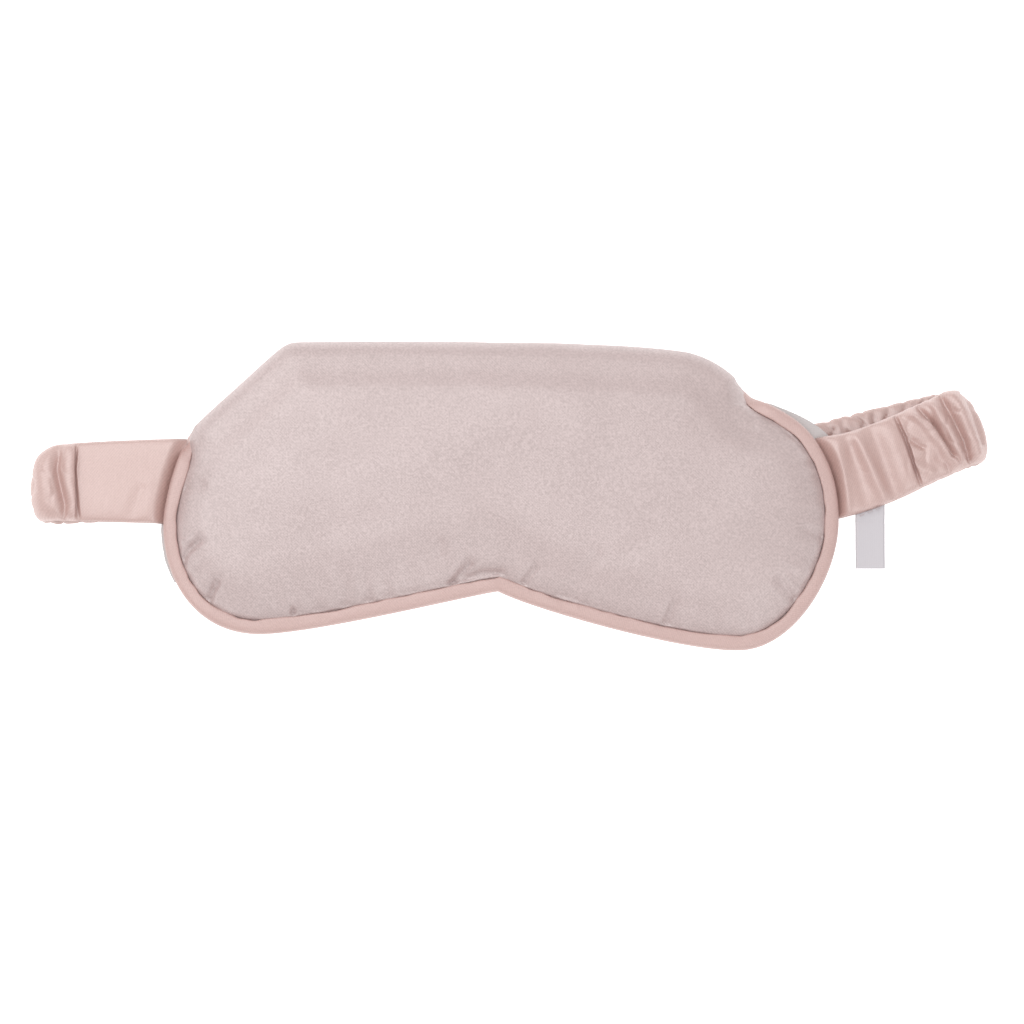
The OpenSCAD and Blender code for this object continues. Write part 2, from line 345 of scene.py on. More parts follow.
MATERIALS = {
    "satin": cloth_material("satin", (0.495, 0.376, 0.366), (0.352, 0.258, 0.248), period=0.62,
                            cross=0.8, contrast=1.5, ribs=0.5, grain=7.0, rough=0.48, ior=1.8,
                            sheen=0.1, gloss=1.0),
    "binding": cloth_material("satin_binding", (0.52, 0.33, 0.30), (0.42, 0.257, 0.23), place="UV",
                              period=0.62, angle=60, contrast=1.3, ribs=0.7, grain=5.0,
                              bump=0.18, rough=0.5, ior=1.75, sheen=0.1, gloss=1.0),
    "strap": cloth_material("strap_satin", (0.53, 0.342, 0.31), (0.415, 0.256, 0.225), place="UV",
                            period=0.66, angle=-50, cross=0.3, contrast=1.3, ribs=0.8, grain=4.0,
                            mottle=0.12, rough=0.42, ior=1.8, sheen=0.1, gloss=1.0),
    "lining": cloth_material("lining", (0.57, 0.525, 0.52), (0.47, 0.43, 0.425), period=0.6,
                             angle=0, cross=1, contrast=0.35, rough=0.62, sheen=0.2, gloss=0.3),
    "wadding": cloth_material("wadding", (0.82, 0.81, 0.79), (0.7, 0.69, 0.67), period=2.2,
                              cross=1, contrast=0.8, bump=0.5, rough=0.9, gloss=0.1),
    "blackout": cloth_material("blackout_cloth", (0.03, 0.03, 0.034), (0.012, 0.012, 0.014),
                               period=0.5, rough=0.8, gloss=0.2),
    "foam": cloth_material("foam", (0.78, 0.77, 0.73), (0.66, 0.65, 0.61), period=1.1, cross=1,
                           contrast=0.9, bump=0.4, rough=0.95, gloss=0.1),
    "elastic": cloth_material("elastic_band", (0.50, 0.325, 0.295), (0.39, 0.245, 0.215), place="UV",
                              period=1.1, angle=0, cross=0.6, contrast=1.0, bump=0.5, rough=0.8,
                              gloss=0.2),
    "label": cloth_material("label_ribbon", (0.56, 0.53, 0.555), (0.50, 0.47, 0.495), place="UV",
                            period=0.55, angle=90, cross=0.15, contrast=0.5, mottle=0.1,
                            rough=0.45, sheen=0.1, gloss=0.5),
    "label_thread": cloth_material("label_thread", (0.52, 0.46, 0.47), (0.42, 0.36, 0.37),
                                   period=0.35, contrast=0.8, bump=0.3, rough=0.6, gloss=0.3),
    # thread: its dark red-brown is painted shade; it stands in for the shadow line in the ditch beside
    # the binding, not for the thread's own colour
    "thread": cloth_material("thread", (0.42, 0.22, 0.20), (0.28, 0.13, 0.12), period=0.35,
                             contrast=0.8, bump=0.3, rough=0.6, gloss=0.3),
}

# ---- outline of the mask

TOP_Y = 45.7
NOTCH_Y = -28.2

RIGHT_CURVES = [
    [(0, TOP_Y), (20, TOP_Y + 0.4), (40, TOP_Y + 0.3), (54.5, 44.2)],
    [(54.5, 44.2), (60.5, 43.1), (66.5, 39.6), (69.5, 36.2)],
    [(69.5, 36.2), (71.6, 33.6), (72.5, 32.6), (75.5, 31.4)],
    [(75.5, 31.4), (81, 29.4), (88.5, 26.0), (93, 20)],
    [(93, 20), (98.4, 12.8), (100.7, 5), (100.7, -5)],
    [(100.7, -5), (100.7, -22), (87.6, -43.1), (72, -43.9)],
    [(72, -43.9), (56, -44.9), (11, NOTCH_Y - 5.3), (0, NOTCH_Y)],
]
LEFT_CURVES = [
    [(0, TOP_Y), (-22, TOP_Y - 0.1), (-42, TOP_Y - 0.5), (-61.6, 44.4)],
    [(-61.6, 44.4), (-63.6, 44.3), (-64.8, 43.9), (-66.4, 42.6)],
    [(-66.4, 42.6), (-74, 35.6), (-83.6, 26.0), (-92.7, 16.8)],
    [(-92.7, 16.8), (-96.4, 11.6), (-98.9, 1), (-99.8, -7)],
    [(-99.8, -7), (-101, -23), (-92, -41.9), (-72, -42.6)],
    [(-72, -42.6), (-57, -43.0), (-9, NOTCH_Y - 1.5), (0, NOTCH_Y)],
]
EDGE_STEP = 1.0
BINDING_W = 4.0
DITCH = 4.15
SEAM_HIGH = BINDING_HIGH[2] - 0.7
SEAM_LOW = BINDING_LOW[2] + 0.75
FRONT_FILL = 0.9
PILLOW_REACH = 34
ROLL_START = 9.0
ROLL_END = 4.4
ROLL_ANGLE = math.radians(96)


def mask_outline():
    """The mask's edge as it shows, counterclockwise from the notch."""
    t = np.linspace(0, 1, 60, endpoint=False)
    right = np.vstack([bezier(c, t) for c in RIGHT_CURVES])
    left = np.vstack([bezier(c, t) for c in LEFT_CURVES])
    loop = np.vstack([[(0, NOTCH_Y)], right[:0:-1], left])
    loop[:, 0] *= HALF_W / 100
    return even_points(loop, EDGE_STEP)


def outward_normals(loop):
    along = np.roll(loop, -1, axis=0) - np.roll(loop, 1, axis=0)
    along = sum(np.roll(along, shift, axis=0) for shift in range(-3, 4))
    along /= np.linalg.norm(along, axis=1)[:, None]
    return np.column_stack([along[:, 1], -along[:, 0]])


def roll_amount(loop):
    """How far each place on the edge is rolled back out of sight: the top and the left shoulder."""
    x, y = loop[:, 0], loop[:, 1]
    left = ramp(y, 8, 20) * (x < 0)
    right = ramp(y, 20, 26) * (x >= 0) * (1 - 0.19 * ramp(x, -8, 4)) * (1 - ramp(x, 69, 80))
    return left + right


def pillow(inside):
    """Rise of a padded panel from 0 at its ditch to 1 in the middle: steep at first, then easing off."""
    t = np.clip(inside - DITCH, 0, PILLOW_REACH) / PILLOW_REACH
    steep = 1 - np.exp(-t * PILLOW_REACH / 1.4)
    slow = 1 - (1 - t) ** 2.6
    return 0.48 * steep + 0.52 * slow


def front_height(inside):
    """Level of the front's face, with the binding's where the binding covers it."""
    panel = SEAM_HIGH + FRONT_FILL * (FRONT_TOP - SEAM_HIGH) * pillow(inside)
    rounded = (BINDING_HIGH[2] - BINDING_LOW[2]) / 2 * (1 - np.clip(inside / 1.2, 0, 1)) ** 2
    return np.where(inside < DITCH, BINDING_HIGH[2] - rounded, panel)


def roll_back(inside, amount, height):
    """Where points near a rolled edge end up: how far out from the roll's start, and how high."""
    bend = np.clip(ROLL_START - inside, 0, ROLL_START - ROLL_END)
    rest = np.clip(ROLL_END - inside, 0, None)
    curl = np.maximum(ROLL_ANGLE * amount / (ROLL_START - ROLL_END), 1e-6)
    angle = bend * curl
    arm = np.maximum(1 / curl + height - UPPER_Z, 0.3)
    reach = arm * np.sin(angle) + rest * np.cos(angle)
    return reach, UPPER_Z + (arm * np.cos(angle) - 1 / curl - rest * np.sin(angle))


def rolled_reach(amount):
    """How far out from the roll's start a rolled edge shows, seen from above."""
    inside = np.linspace(0, ROLL_START, 90)
    return roll_back(inside, amount, front_height(inside))[0].max()


SHOWN_EDGE = mask_outline()
EDGE_OUT = outward_normals(SHOWN_EDGE)
EDGE_ROLL = roll_amount(SHOWN_EDGE)
ROLL_LOSS = np.array([ROLL_START - rolled_reach(a) if a > 0.02 else 0 for a in EDGE_ROLL])
ROLL_LOSS += 1.15 * ramp(EDGE_ROLL, 0.25, 0.8)
FLAT_EDGE = SHOWN_EDGE + EDGE_OUT * ROLL_LOSS[:, None]
EDGE_N = len(FLAT_EDGE)
EDGE_S = np.arange(EDGE_N) * EDGE_STEP


def edge_place(x, y, edge=None):
    """For each point: its place along the edge, counted in stations, and how far inside it is."""
    edge = FLAT_EDGE if edge is None else edge
    points = np.column_stack([x, y])
    nearest = np.zeros(len(points), int)
    for start in range(0, len(points), 4000):
        part = points[start:start + 4000]
        gap = ((part[:, None, :] - edge[None, :, :]) ** 2).sum(axis=2)
        nearest[start:start + 4000] = gap.argmin(axis=1)
    best = np.full(len(points), 1e9)
    place = nearest.astype(float)
    for step in (-1, 0):
        a, b = edge[(nearest + step) % EDGE_N], edge[(nearest + step + 1) % EDGE_N]
        line, away = b - a, points - a
        t = np.clip((away * line).sum(axis=1) / (line * line).sum(axis=1), 0, 1)
        far = np.linalg.norm(away - line * t[:, None], axis=1)
        place = np.where(far < best, nearest + step + t, place)
        best = np.minimum(best, far)
    side = ((points - edge[nearest]) * EDGE_OUT[nearest]).sum(axis=1)
    return place % EDGE_N, np.where(side <= 0, best, -best)


def at_edge(table, place):
    """A table of values, one for each station, read between stations."""
    i = np.floor(place).astype(int)
    f = place - i
    if table.ndim == 2:
        f = f[:, None]
    return table[i % EDGE_N] * (1 - f) + table[(i + 1) % EDGE_N] * f


def place_mask(x, y):
    """Turns and moves flat coordinates of the mask to where it lies."""
    c, s = math.cos(MASK_TURN), math.sin(MASK_TURN)
    return x * c - y * s + MASK_X, x * s + y * c


def outside_mask(x, y):
    """How far places on the table lie outside the mask's shown edge."""
    c, s = math.cos(MASK_TURN), math.sin(MASK_TURN)
    u, v = np.ravel(x) - MASK_X, np.ravel(y)
    inside = edge_place(u * c + v * s, -u * s + v * c, SHOWN_EDGE)[1]
    return -inside.reshape(np.shape(x))


def lay_on_strap(points):
    """Rolls back the edges that lie rolled, then turns and moves the mask to its place."""
    p = np.array(points, float)
    place, inside = edge_place(p[:, 0], p[:, 1])
    out, amount = at_edge(EDGE_OUT, place), at_edge(EDGE_ROLL, place)
    out /= np.linalg.norm(out, axis=1)[:, None]
    reach, height = roll_back(inside, amount, p[:, 2])
    rolled = (inside < ROLL_START) & (amount > 1e-3)
    p[:, :2] += out * np.where(rolled, reach - (ROLL_START - inside), 0)[:, None]
    p[:, 2] = np.where(rolled, height, p[:, 2])
    p[:, 0], p[:, 1] = place_mask(p[:, 0], p[:, 1])
    return p


# ---- padded layers

RINGS = (1.5, 2.8, 3.7, 4.1, 4.4, 4.8, 5.4, 6.2, 7.2, 8.4)


def panel_mesh(grid, rings=RINGS):
    """A flat panel's points and faces: rows along the edge, and an even grid inside them."""
    rows_in = [FLAT_EDGE - EDGE_OUT * d for d in rings]
    low, high = FLAT_EDGE.min(axis=0), FLAT_EDGE.max(axis=0)
    gx, gy = np.meshgrid(np.arange(low[0], high[0], grid), np.arange(low[1], high[1], grid))
    middle = np.column_stack([gx.ravel(), gy.ravel()])
    deep = edge_place(middle[:, 0], middle[:, 1])[1] > rings[-1] + grid * 0.7
    points = np.vstack(rows_in + [middle[deep]])
    inside = edge_place(points[:, 0], points[:, 1])[1]
    expected = np.concatenate([np.full(EDGE_N, d) for d in rings] + [inside[len(rings) * EDGE_N:]])
    keep = np.abs(inside - expected) < 0.12
    keep[:EDGE_N] = True
    points = points[keep]
    outer = list(range(EDGE_N))
    flat, _, faces, _, _, _ = delaunay_2d_cdt([Vector(p) for p in points.tolist()], [], [outer], 1, 1e-5)
    x, y = np.array([(v.x, v.y) for v in flat]).T
    place, inside = edge_place(x, y)
    return x, y, place, inside, np.array([list(f) for f in faces])


def even_out(step, faces, times):
    """Averages each point's move with its neighbours' a few times."""
    pairs = np.vstack([faces[:, [i, (i + 1) % 3]] for i in range(3)])
    count = np.maximum(np.bincount(pairs[:, 0], minlength=len(step)), 1)
    for _ in range(times):
        total = np.zeros_like(step)
        np.add.at(total, pairs[:, 0], step[pairs[:, 1]])
        step = total / count[:, None]
    return step


def simulate(points, faces, pinned, pressure, growth, cap):
    """Swells a panel held at its rim, ten times life size, and returns how far each point moves."""
    scale, frames = 10.0, 20
    obj = make_mesh("swelling", points * scale, faces, MATERIALS["wadding"])
    group = obj.vertex_groups.new(name="rim")
    group.add([int(i) for i in np.nonzero(pinned)[0]], 1.0, "REPLACE")
    cloth = obj.modifiers.new("cloth", "CLOTH")
    cloth.point_cache.frame_start = 1
    cloth.point_cache.frame_end = frames
    s = cloth.settings
    s.quality = 6
    s.mass = 0.25
    s.tension_stiffness = 12
    s.compression_stiffness = 12
    s.shear_stiffness = 6
    s.bending_stiffness = 0.6
    s.vertex_group_mass = "rim"
    s.shrink_min = -growth
    s.use_pressure = True
    s.uniform_pressure_force = pressure
    s.effector_weights.gravity = 0
    scene = bpy.context.scene
    for number in range(1, frames + 1):
        scene.frame_set(number)
    apply_modifiers(obj)
    moved = read_points(obj.data) / scale
    scene.frame_set(1)
    bpy.data.objects.remove(obj, do_unlink=True)
    step = moved - points
    far = np.linalg.norm(step, axis=1)
    step *= np.minimum(1, cap / np.maximum(far, 1e-9))[:, None]
    return even_out(step, faces, 3) * ~pinned[:, None]


# Dents in the front: line of (x, y), depth, half width
DENTS = [
    ([(-97.4, -19.6), (-94.4, -16.2), (-91.4, -13.4)], 1.9, 1.25),
    ([(-89.4, -32.2), (-87.2, -28.0), (-86.0, -25.6)], 1.9, 1.2),
    ([(-64.6, -38.4), (-64.0, -33.6)], 1.5, 0.8),
    ([(-17.4, -26.6), (-14.6, -23.0), (-12.0, -20.2)], 1.9, 1.2),
    ([(-13.0, -24.2), (-8.0, -22.6), (-2.6, -22.6)], 1.3, 1.3),
    ([(4.0, -25.8), (7.5, -21.5)], 1.3, 1.1),
    ([(-20.9, -17.6), (-20.5, -14.4)], 0.7, 1.4),
    ([(18.0, -29.0), (25.5, -18.6)], 0.8, 2.8),
    ([(33.0, -18.5), (40.5, -13.5)], 0.35, 3.4),
    ([(-52.0, -12.0), (-38.0, -8.0)], 0.4, 5.0),
    ([(-70.0, 12.0), (-58.0, 22.0)], 0.35, 5.0),
    ([(58.0, 21.0), (71.0, 14.0)], 0.35, 5.0),
    ([(84.0, -31.0), (79.0, -25.0)], 0.9, 1.4),
    ([(93.0, -12.4), (87.0, -10.0)], 0.7, 1.4),
    ([(-97.0, 2.0), (-91.0, 3.0)], 0.7, 1.5),
    ([(46.0, -38.0), (48.0, -32.0)], 1.1, 1.2),
    ([(84.5, 18.5), (76.0, 17.5), (67.0, 20.0)], 0.8, 3.2),
]


PUCKER_COUNT = 74


def puckers(place, inside, strength, seed):
    """Small gathers that run in from the seam and die out."""
    along = place * EDGE_STEP
    turns = along / (EDGE_N * EDGE_STEP) * 2 * math.pi
    drift = SmoothNoise(seed)
    phase = PUCKER_COUNT * turns + 3.6 * drift(along / 15, 0.5)
    size = 0.25 + 0.75 * np.clip(drift(along / 21, 7.5) * 1.6, 0, 1)
    fade = np.exp(-np.clip(inside - DITCH, 0, None) / 4.2)
    shown = 1 - 0.9 * np.minimum(at_edge(EDGE_ROLL, place) * 1.6, 1)
    return strength * size * np.cos(phase) * fade * shown


def front_points():
    """The front panel before it is laid down: its points and faces."""
    x, y, place, inside, faces = panel_mesh(1.45)
    points = np.column_stack([x, y, SEAM_HIGH + FRONT_FILL * (FRONT_TOP - SEAM_HIGH) * pillow(inside)])
    held = np.minimum(at_edge(EDGE_ROLL, place) * 1.6, 1) * (1 - ramp(inside, 9, 18))
    moved = simulate(points, faces, inside < DITCH + 0.4, 4.0, 0.012, 1.6)
    points += moved * (1 - held)[:, None]
    return points, faces


def build_front():
    points, faces = front_points()
    obj = make_mesh("front_panel_satin", points, faces, MATERIALS["satin"])
    subdivide(obj)
    p = read_points(obj.data)
    place, inside = edge_place(p[:, 0], p[:, 1])
    soft = ramp(inside, DITCH + 0.2, DITCH + 3)
    loose, broad = SmoothNoise(11), SmoothNoise(12)
    p[:, 2] += puckers(place, inside, 0.45, 5) * ramp(inside, DITCH, DITCH + 0.9)
    p[:, 2] += (0.2 * loose(p[:, 0] / 13, p[:, 1] / 11) + 0.35 * broad(p[:, 0] / 34, p[:, 1] / 27)) * soft
    p = lay_on_strap(p)
    p[:, 2] -= bumps(DENTS, p[:, 0], p[:, 1]) * ramp(inside, DITCH, DITCH + 1.2)
    write_points(obj.data, p)
    return obj


def lining_puff(place):
    """How far the lining bulges out past the binding at each place on the edge."""
    x, y = at_edge(SHOWN_EDGE, place).T
    shoulder = 0.1 * ramp(x, 70, 76) + 4.4 * np.clip((x - 76) / 19, 0, 1) ** 2
    lower = 0.5 * ramp(-x, 82, 92) * ramp(-y, 5, 12) * (1 - ramp(-y, 20, 30))
    return shoulder * ramp(y, 11, 17) * (x > 0) + lower


def build_rear():
    x, y, _, inside, faces = panel_mesh(2.2)
    z = SEAM_LOW - (SEAM_LOW - REAR_BOTTOM) * pillow(inside)
    obj = make_mesh("rear_lining", np.column_stack([x, y, z]), faces[:, ::-1], MATERIALS["lining"])
    subdivide(obj)
    p = read_points(obj.data)
    place, inside = edge_place(p[:, 0], p[:, 1])
    p[:, 2] += puckers(place, inside, 0.3, 9) * ramp(inside, DITCH - 0.2, DITCH + 1.2)
    p[:, 2] += 0.25 * (SmoothNoise(21)(p[:, 0] / 17, p[:, 1] / 17) + 1) * ramp(inside, DITCH, DITCH + 6)
    puff = lining_puff(place)
    swell = np.exp(-(((inside - 6.2) / 3.0) ** 2)) * ramp(inside, 3.6, 5.6)
    p[:, :2] += at_edge(EDGE_OUT, place) * ((puff + 6.4) * swell * np.clip(puff * 12, 0, 1))[:, None]
    write_points(obj.data, lay_on_strap_after(p, place))
    return obj


def lay_on_strap_after(p, place):
    """Lays down points that were pushed outward, and rolls only those whose edge lies rolled."""
    pushed = at_edge(EDGE_ROLL, place) < 1e-3
    laid = lay_on_strap(p)
    laid[pushed] = np.column_stack([*place_mask(p[:, 0], p[:, 1]), p[:, 2]])[pushed]
    return laid


def build_layer(name, material, low, high, low_mid, high_mid):
    """A hidden filling layer between two levels at the seam and two in the middle."""
    x, y, _, inside, faces = panel_mesh(3.4, (8.0, 9.4))
    n = len(x)
    shape = pillow(inside)
    under = lay_on_strap(np.column_stack([x, y, low + (low_mid - low) * shape]))
    over = lay_on_strap(np.column_stack([x, y, high + (high_mid - high) * shape]))
    if high_mid > BINDING_HIGH[2]:
        over[:, 2] -= bumps(DENTS, over[:, 0], over[:, 1])
    edges = dict.fromkeys((a, b) for f in faces for a, b in zip(f, np.roll(f, -1)))
    sides = [(b, a, a + n, b + n) for a, b in edges if (b, a) not in edges]
    all_faces = [tuple(f + n) for f in faces] + [tuple(f[::-1]) for f in faces] + sides
    return make_mesh(name, np.vstack([under, over]), all_faces, MATERIALS[material])


# ---- binding

# Section of the folded tape: how far inside the edge, and its level between 0 (rear) and 1 (front)
TAPE_OUTSIDE = [
    (4.15, 0.86), (4.22, 0.93), (4.12, 1.0), (3.7, 1.035), (2.9, 1.05), (2.0, 1.05), (1.2, 1.01),
    (0.55, 0.9), (0.15, 0.74), (0.0, 0.5), (0.15, 0.26), (0.55, 0.1), (1.2, -0.01),
    (2.0, -0.05), (2.9, -0.05), (3.7, -0.035), (4.12, 0.0), (4.22, 0.07), (4.15, 0.14),
]
TAPE_INSIDE = [(3.4, 0.15), (2.2, 0.15), (1.1, 0.2), (0.7, 0.5), (1.1, 0.8), (2.2, 0.85), (3.4, 0.85)]
TAPE_WAVINESS = 1.6


def build_binding():
    """The folded tape's section carried round the mask's edge."""
    section = np.array(TAPE_OUTSIDE + TAPE_INSIDE)
    low, high = BINDING_LOW[2], BINDING_HIGH[2]
    wave, lump = SmoothNoise(31), SmoothNoise(32)
    width = 1 + TAPE_WAVINESS * (0.05 * wave(EDGE_S / 9, 0.3) + 0.035 * wave(EDGE_S / 3.1, 4.3))
    swell = TAPE_WAVINESS * (0.12 * lump(EDGE_S / 3.4, 2.3) + 0.16 * lump(EDGE_S / 8.0, 9.3))
    inside = section[None, :, 0] * width[:, None]
    ridge = np.clip(1 - np.abs(section[:, 0] - 2.2) / 2.2, 0, 1)
    side = np.sign(section[:, 1] - 0.5)
    z = low + (high - low) * section[None, :, 1] + (swell[:, None] * ridge * side)
    xy = FLAT_EDGE[:, None, :] - EDGE_OUT[:, None, :] * inside[:, :, None]
    m = len(section)
    points = np.concatenate([xy, np.broadcast_to(z[:, :, None], (EDGE_N, m, 1))], axis=2)
    return make_mesh("binding_tape", lay_on_strap(points.reshape(-1, 3)),
                     tube_faces(EDGE_N, m, closed=True), MATERIALS["binding"],
                     strip_grid(EDGE_S, running_length(section * [1, high - low])))


def build_seam_thread():
    """Short stitches in the ditch beside the binding, front and rear, in the dark red-brown thread whose
    colour is painted shade for the ditch's shadow line.
    """
    pitch, long, fat = 2.8, 2.0, 0.16
    parts, ring = 5, 6
    count = int(EDGE_N * EDGE_STEP / pitch)
    share = np.arange(parts) / (parts - 1)
    thick = fat * (0.35 + 0.65 * np.sin(math.pi * (0.08 + 0.84 * share)))[:, None]
    turn = 2 * math.pi * np.arange(ring) / ring
    one = np.arange(parts * ring).reshape(parts, ring)
    one_faces = [*tube_faces(parts, ring), one[0, ::-1], one[-1]]
    points, faces = [], []
    # the stitches lie at the ditch's level so that their dark colour draws the ditch's painted shade line
    for level in (SEAM_HIGH + 0.12, SEAM_LOW - 0.12):
        for k in range(count):
            place = (k * pitch + long * share) / EDGE_STEP
            out = EDGE_OUT[place.astype(int) % EDGE_N]
            middle = at_edge(FLAT_EDGE, place) - out * (BINDING_W + 0.28)
            flat = middle[:, None] + out[:, None] * (thick * np.cos(turn))[:, :, None]
            faces += [np.array(face) + len(points) * one.size for face in one_faces]
            points.append(np.dstack([flat, level + thick * np.sin(turn)]).reshape(-1, 3))
    return make_mesh("seam_thread_shade_line", lay_on_strap(np.vstack(points)), faces, MATERIALS["thread"])


# ---- strap

STRAP_HALF_W = 12.0
TURN_PUSH = 2.6
RIGHT_TILT = math.radians(18.5)
RIGHT_TURN = np.array([131.5, 19.8]) + TURN_PUSH * np.array([math.cos(RIGHT_TILT), math.sin(RIGHT_TILT)])
# Highest that the lower run's top face rises over its middle
LOWER_RISE = 2.05
# Spacing of the path's rows where the strap shows and where it is hidden
FINE, COARSE = 0.34, 0.75
# One ruched fold's length along the strap
FOLD_LENGTH = 5.0
CASING_WALL = 0.3
ELASTIC_HALF_T = 0.3
FLOOR_GAP = 0.02
UPPER_MID = UPPER_Z + STRAP_MID

# Flat runs of the strap: middle (x, y), tilt of the cross direction in degrees, half width
LEFT_UPPER = [(LEFT_TURN[0], 4.3, 0, 11.5), (-120, 4.6, 0, 12.1), (-95, 4.75, 0, 12.9)]
LEFT_LOWER = [(LEFT_TURN[0], 4.3, 0, 11.5), (-110, 4.9, 0, 10.9), (LEFT_BEND[0], 5.0, 0, 11.6)]
CENTRE_LOWER = [(-40, 5.3, 0, 11.8), (20, 6.5, 1, 11.8), (RIGHT_BEND[0], 7.9, 4, 11.8)]
RIGHT_LOWER = [(90, 10.4, 11, 11.9), (112, 16.0, 15, 11.7), (RIGHT_TURN[0], 21.4, 18.5, 11.7)]
RIGHT_UPPER = [(85, 4.6, 16, 12.6), (90, 5.1, 15, 12.6), (95, 5.8, 13, 12.5), (100, 6.7, 10, 12.3),
               (112, 10.7, 14, 12.0), (122, 15.2, 17, 11.7), (RIGHT_TURN[0], 20.5, 18.5, 11.7)]

# Places along x, in order round the strap: its ends, its cuts and the two ends of the elastic
LEFT_END_X = -96.6
LEFT_BAND_X = -106.0
LEFT_CUT_X = -129.3
LEFT_LOW_X = -95
CENTRE_X = -5
RIGHT_LOW_X = 80
RIGHT_BAND_X = 102.5
RIGHT_CUT_X = 97.4
RIGHT_END_X = 88.0


def flat_run(xs, knots, level, up):
    """Rows of a flat run: middle x y z, cross x y, outward normal x y z, half width, turn share."""
    k = np.array(sorted(knots), float)
    y, tilt, half = (through(xs, k[:, 0], k[:, column]) for column in (1, 2, 3))
    tilt = np.radians(tilt)
    zero = np.zeros(len(xs))
    return np.column_stack([xs, y, zero + level, -np.sin(tilt), np.cos(tilt), zero, zero, zero + up,
                            half, zero])


def turn_run(centre, tilt, heading, half, first, last):
    """Rows round a fold at the strap's end."""
    steps = int(math.pi * TURN_R / FINE)
    a = np.linspace(first, last, steps + 2)[1:-1]
    out, one = np.cos(a), np.ones(steps)
    c, s = math.cos(heading), math.sin(heading)
    return np.column_stack([
        centre[0] + TURN_R * out * c, centre[1] + TURN_R * out * s, TURN_Z + TURN_R * np.sin(a),
        -math.sin(tilt) * one, math.cos(tilt) * one, out * c, out * s, np.sin(a), half * one, out])


def strap_path():
    """The strap's rows from the left seam, round the back, to the right seam."""
    return np.vstack([
        flat_run(np.arange(LEFT_END_X, LEFT_TURN[0], -FINE), LEFT_UPPER, UPPER_MID, 1),
        turn_run((LEFT_TURN[0], 4.3), 0, math.pi, 11.5, math.pi / 2, -math.pi / 2),
        flat_run(np.arange(LEFT_TURN[0], RIGHT_TURN[0], COARSE),
                 LEFT_LOWER + CENTRE_LOWER + RIGHT_LOWER, STRAP_MID, -1),
        turn_run(RIGHT_TURN, RIGHT_TILT, RIGHT_TILT, 11.7, -math.pi / 2, math.pi / 2),
        flat_run(np.arange(RIGHT_TURN[0], RIGHT_END_X, -FINE), RIGHT_UPPER, UPPER_MID, 1),
    ])


PATH = strap_path()
PATH_S = running_length(PATH[:, :3])

# Folds across the strap's face: line of (x, y), height (below 0 is a crease), half width
FOLDS = [
    ([(-128.9, 16.5), (-129.5, 8), (-128.8, -2.6), (-127.8, -8)], -1.6, 0.5),
    ([(-131.3, 17), (-131.7, 8), (-130.9, -2), (-130.4, -8)], 1.1, 1.0),
    ([(-133.9, 16), (-134.6, 8), (-133.6, 3.3), (-131.9, -2.6), (-132.4, -8)], -1.7, 1.0),
    ([(-137.6, 13), (-137.0, 4), (-135.4, -4)], 1.3, 2.6),
    ([(-129.0, -7.6), (-126.0, -7.6)], -1.0, 0.6),
    ([(-112.2, -5), (-109.6, 2)], -0.35, 1.8),
    ([(-108.0, -7), (-107.2, 4)], 0.3, 1.8),
    ([(97.0, 17.6), (98.4, 8), (99.4, -6)], 1.3, 2.1),
    ([(101.6, 15), (103.8, 6), (106.2, -4)], -0.8, 2.0),
    ([(102.6, 18.6), (107, 9), (111.4, -1.5)], 1.6, 1.8),
    ([(107.6, 21), (110.5, 12), (114.2, 1)], -0.8, 2.0),
    ([(110.8, 22), (115, 13), (118.3, 3)], 1.0, 2.8),
    ([(114.9, 23.6), (117.6, 17.6), (120.0, 10), (122.0, 3.5)], -2.0, 0.6),
    ([(119.6, 16.7), (122.6, 14.6)], -1.2, 0.7),
    ([(119.4, 24.6), (123, 21.9), (128.1, 14.9), (132.2, 8.6)], 2.0, 1.3),
    ([(121.6, 9.6), (124.6, 7.2)], 1.0, 1.4),
    ([(121.8, 26.4), (126.4, 20.4), (130.8, 12.2)], -1.9, 0.9),
    ([(125.4, 27.8), (129.8, 20.6), (134.6, 10.8)], 1.8, 1.3),
    ([(128.7, 29.4), (132.2, 22.6), (135.0, 16.5), (136.4, 11.4)], -1.9, 0.8),
    ([(131.2, 30.4), (134.8, 23.5), (137.6, 15.5), (138.4, 12.2)], 1.4, 1.0),
    ([(133.8, 31.0), (136.8, 24.0), (139.6, 15.5)], -1.0, 0.6),
    ([(136.0, 11.4), (137.4, 8.2)], -1.6, 0.8),
    ([(130.0, 9.6), (130.8, 6.8)], -0.8, 0.8),
]

# Folds that lean over the crease beside them: line of (x, y), lean for each mm of height, half width
LEANS = [
    ([(-130.3, 17), (-130.7, 8), (-130.1, -2), (-129.5, -8)], 0.8, 1.2),
    ([(116.6, 24), (119.4, 18), (121.8, 10.4), (123.6, 4)], -0.65, 1.3),
    ([(124.0, 22), (128.2, 15.6), (132.6, 9)], 0.35, 1.2),
]


def gathers(s, v, seed):
    """Ruched folds across the strap: round tops, narrow creases, uneven spacing, from -1 to 1."""
    a, b, c = SmoothNoise(seed), SmoothNoise(seed + 1), SmoothNoise(seed + 2)
    phase = math.pi * (s / FOLD_LENGTH + 0.6 * a(s / 9, v * 0.9) + 0.3 * b(s / 3.4, v * 1.9))
    top = 1 - (1 - np.abs(np.sin(phase))) ** 1.8
    fine = 1 - (1 - np.abs(np.sin(2.3 * phase + 1))) ** 1.6
    rim = np.abs(v / 2.2) ** 3
    size = 0.7 + 0.3 * c(s / 6.5, v * 1.1)
    return (2 * (top * (1 - 0.4 * rim) + fine * 0.4 * rim) - 1.25) * size


